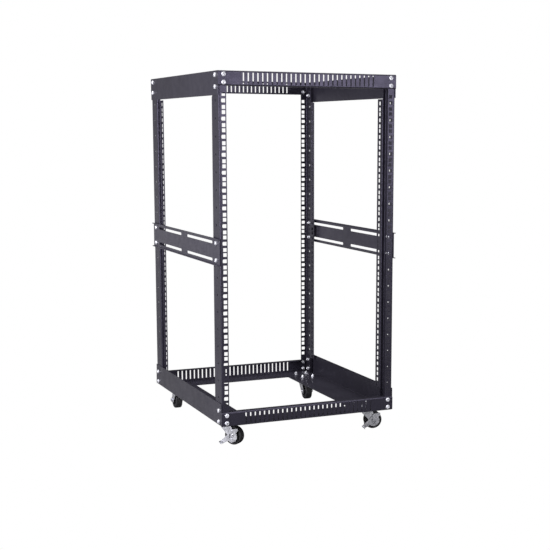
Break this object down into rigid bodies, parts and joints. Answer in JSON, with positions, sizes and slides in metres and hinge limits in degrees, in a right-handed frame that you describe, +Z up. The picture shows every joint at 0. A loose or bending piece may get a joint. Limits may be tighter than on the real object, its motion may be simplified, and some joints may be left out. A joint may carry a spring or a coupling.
{
  "type": "four post open frame rack",
  "caption": "Open frame equipment rack with punched channel posts, vented rails, slotted side braces and swivel casters.",
  "frame": {"origin": "on the floor, under the middle of the frame", "axes": "+X to the right and +Y to the rear as seen from the front, +Z up"},
  "size_m": [0.5046, 0.592, 0.9686],
  "materials": {
    "powder_coat": "fine matt black powder coat",
    "zinc_plating": "bright zinc plating",
    "tyre": "smooth black rubber",
    "wheel_centre": "moulded black plastic"
  },
  "bodies": {
    "frame": {"lower_side_rail_left": "powder_coat", "upper_side_rail_left": "powder_coat", "middle_brace_left": "powder_coat", "lower_side_rail_right": "powder_coat", "upper_side_rail_right": "powder_coat", "middle_brace_right": "powder_coat", "lower_cross_rail_front": "powder_coat", "upper_cross_rail_front": "powder_coat", "post_front_left": "powder_coat", "post_front_right": "powder_coat", "lower_cross_rail_rear": "powder_coat", "upper_cross_rail_rear": "powder_coat", "post_rear_left": "powder_coat", "post_rear_right": "powder_coat", "caster_front_left_plate": "zinc_plating", "caster_front_left_kingpin": "zinc_plating", "caster_front_right_plate": "zinc_plating", "caster_front_right_kingpin": "zinc_plating", "caster_rear_left_plate": "zinc_plating", "caster_rear_left_kingpin": "zinc_plating", "caster_rear_right_plate": "zinc_plating", "caster_rear_right_kingpin": "zinc_plating"},
    "swivel_front_left": {"caster_front_left_fork": "zinc_plating", "caster_front_left_axle": "zinc_plating"},
    "wheel_front_left": {"caster_front_left_tyre": "tyre", "caster_front_left_hub": "wheel_centre"},
    "brake_front_left": {"caster_front_left_brake_lever": "zinc_plating"},
    "swivel_front_right": {"caster_front_right_fork": "zinc_plating", "caster_front_right_axle": "zinc_plating"},
    "wheel_front_right": {"caster_front_right_tyre": "tyre", "caster_front_right_hub": "wheel_centre"},
    "brake_front_right": {"caster_front_right_brake_lever": "zinc_plating"},
    "swivel_rear_left": {"caster_rear_left_fork": "zinc_plating", "caster_rear_left_axle": "zinc_plating"},
    "wheel_rear_left": {"caster_rear_left_tyre": "tyre", "caster_rear_left_hub": "wheel_centre"},
    "swivel_rear_right": {"caster_rear_right_fork": "zinc_plating", "caster_rear_right_axle": "zinc_plating"},
    "wheel_rear_right": {"caster_rear_right_tyre": "tyre", "caster_rear_right_hub": "wheel_centre"}
  },
  "joints": [
    {"name": "swivel_front_left", "type": "hinge", "parent": "frame", "child": "swivel_front_left", "pos_m": [-0.203, -0.214, 0.0605], "axis": [0, 0, 1], "continuous": true},
    {"name": "wheel_front_left", "type": "hinge", "parent": "swivel_front_left", "child": "wheel_front_left", "pos_m": [-0.18886, -0.23085, 0.025], "axis": [0.766, 0.6428, 0], "continuous": true},
    {"name": "brake_front_left", "type": "hinge", "parent": "swivel_front_left", "child": "brake_front_left", "pos_m": [-0.18886, -0.23085, 0.037], "axis": [0.766, 0.6428, 0], "range_deg": [0, 14]},
    {"name": "swivel_front_right", "type": "hinge", "parent": "frame", "child": "swivel_front_right", "pos_m": [0.203, -0.214, 0.0605], "axis": [0, 0, 1], "continuous": true},
    {"name": "wheel_front_right", "type": "hinge", "parent": "swivel_front_right", "child": "wheel_front_right", "pos_m": [0.22425, -0.21969, 0.025], "axis": [0.2588, 0.9659, 0], "continuous": true},
    {"name": "brake_front_right", "type": "hinge", "parent": "swivel_front_right", "child": "brake_front_right", "pos_m": [0.22425, -0.21969, 0.037], "axis": [0.2588, 0.9659, 0], "range_deg": [0, 14]},
    {"name": "swivel_rear_left", "type": "hinge", "parent": "frame", "child": "swivel_rear_left", "pos_m": [-0.203, 0.214, 0.0605], "axis": [0, 0, 1], "continuous": true},
    {"name": "wheel_rear_left", "type": "hinge", "parent": "swivel_rear_left", "child": "wheel_rear_left", "pos_m": [-0.20223, 0.23599, 0.025], "axis": [-0.9994, 0.0349, 0], "continuous": true},
    {"name": "swivel_rear_right", "type": "hinge", "parent": "frame", "child": "swivel_rear_right", "pos_m": [0.203, 0.214, 0.0605], "axis": [0, 0, 1], "continuous": true},
    {"name": "wheel_rear_right", "type": "hinge", "parent": "swivel_rear_right", "child": "wheel_rear_right", "pos_m": [0.20147, 0.19205, 0.025], "axis": [0.9976, -0.0698, 0], "continuous": true}
  ]
}
